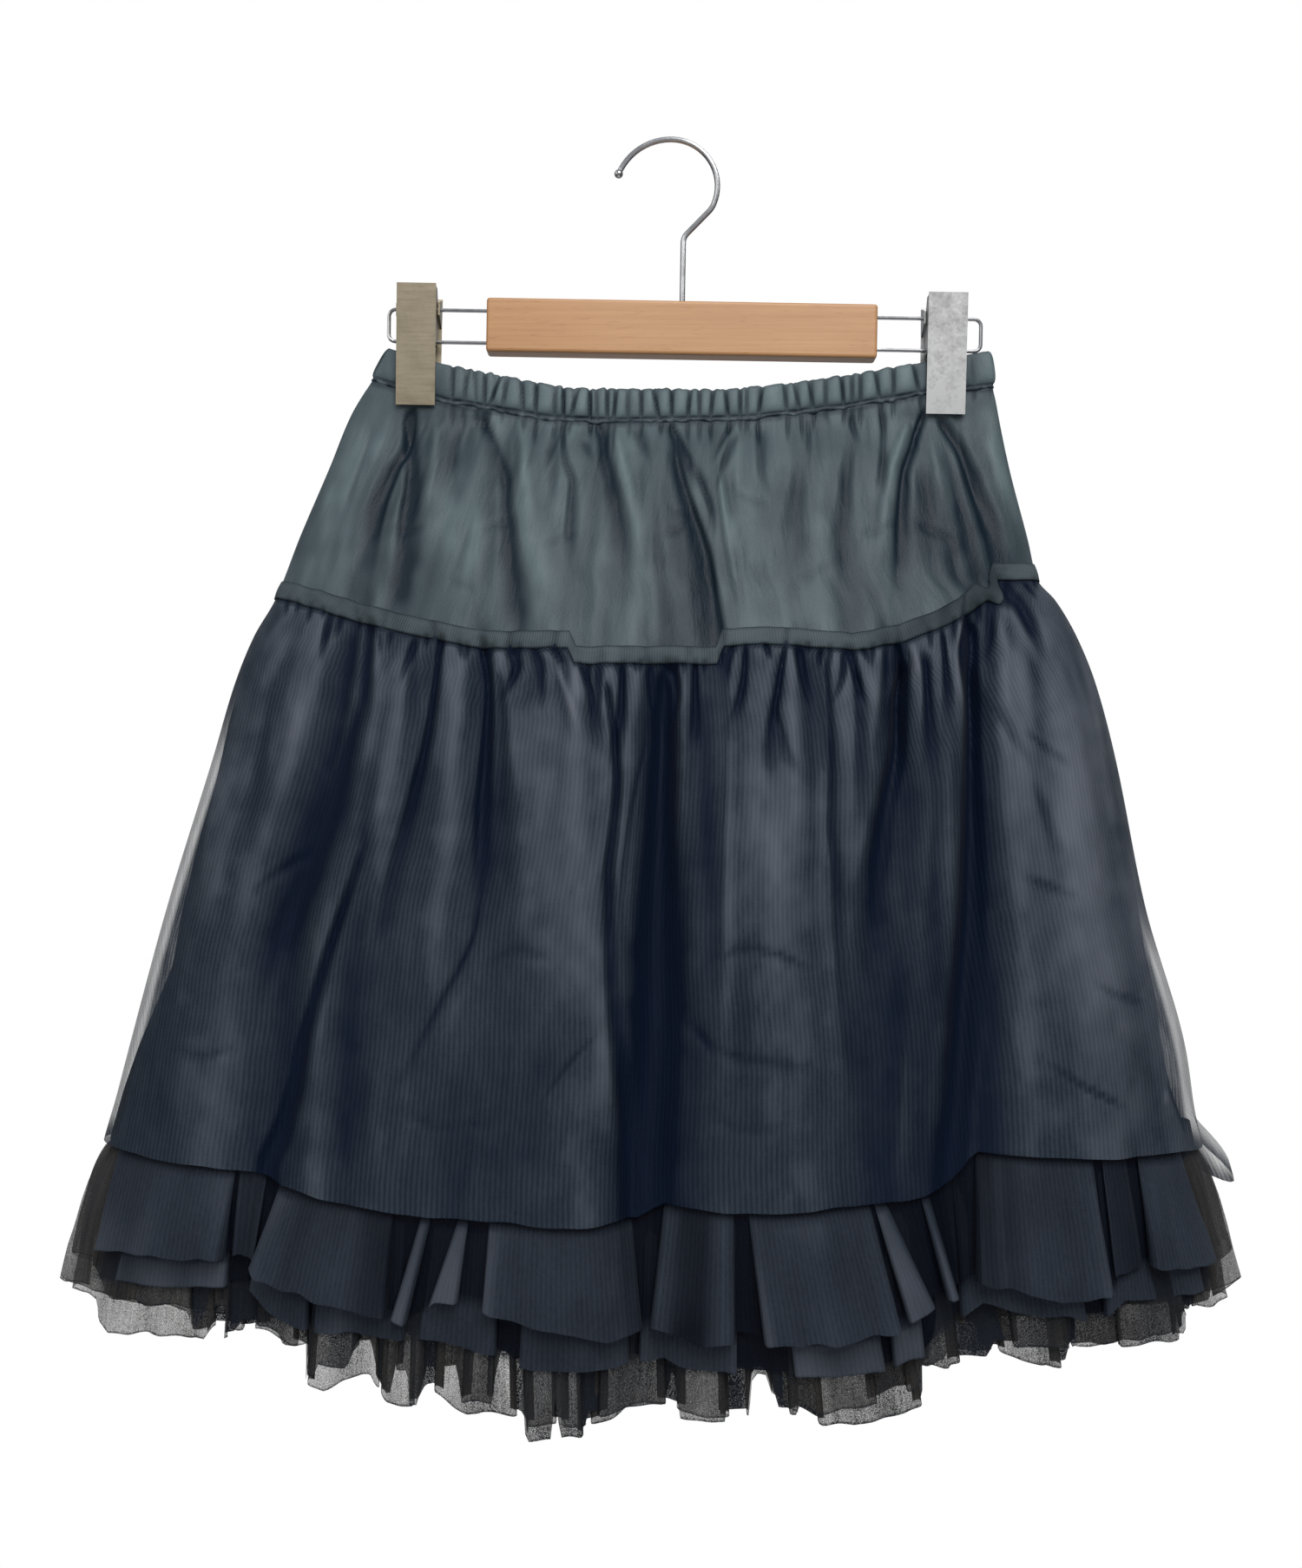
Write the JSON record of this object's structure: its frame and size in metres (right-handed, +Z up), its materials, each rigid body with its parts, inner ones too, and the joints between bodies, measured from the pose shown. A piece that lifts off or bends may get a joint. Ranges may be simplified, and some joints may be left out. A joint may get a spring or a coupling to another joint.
{
  "type": "tiered tulle skirt on a clip hanger",
  "caption": "Short flared skirt with a gathered elastic waist, satin yoke, ribbed mesh overskirt and sheer frills, held by its waistband on a wooden clip hanger.",
  "frame": {"origin": "highest point inside the hanger's hook, where it rests on a rail", "axes": "+Z up, -Y is the skirt's front, +X is the viewer's right when looking at the front"},
  "size_m": [0.6056, 0.1485, 0.6519],
  "materials": {
    "satin": "dark grey-green satin with a soft sheen, lightly creased",
    "tape": "narrow ribbed woven tape, matt",
    "ribbed_mesh": "dark navy fine mesh with raised ribs down its length, slightly see-through",
    "lining": "plain dark navy lining",
    "tulle": "sheer dark tulle net",
    "wood": "honey brown satin varnish over fine grain",
    "chrome": "bright plated wire",
    "clip_steel": "plain plated sheet, faintly mottled"
  },
  "bodies": {
    "root": {"waistband_front": "satin", "waistband_back": "satin", "yoke_front": "satin", "yoke_back": "satin", "hip_tape_front": "tape", "hip_tape_back": "tape", "overskirt_front": "ribbed_mesh", "overskirt_back": "ribbed_mesh", "underskirt_front": "lining", "underskirt_back": "lining", "upper_frill_front": "ribbed_mesh", "upper_frill_back": "ribbed_mesh", "lower_frill_front": "ribbed_mesh", "lower_frill_back": "ribbed_mesh", "short_tulle_frill_front": "tulle", "short_tulle_frill_back": "tulle", "long_tulle_frill_front": "tulle", "long_tulle_frill_back": "tulle", "hanger_hook": "chrome", "hanger_bar": "wood", "hanger_rail_left": "chrome", "hanger_rail_right": "chrome", "clip_front_left": "clip_steel", "clip_front_right": "clip_steel", "clip_rear_left": "clip_steel", "clip_rear_right": "clip_steel", "clip_spring_left": "chrome", "clip_spring_right": "chrome"}
  },
  "joints": []
}
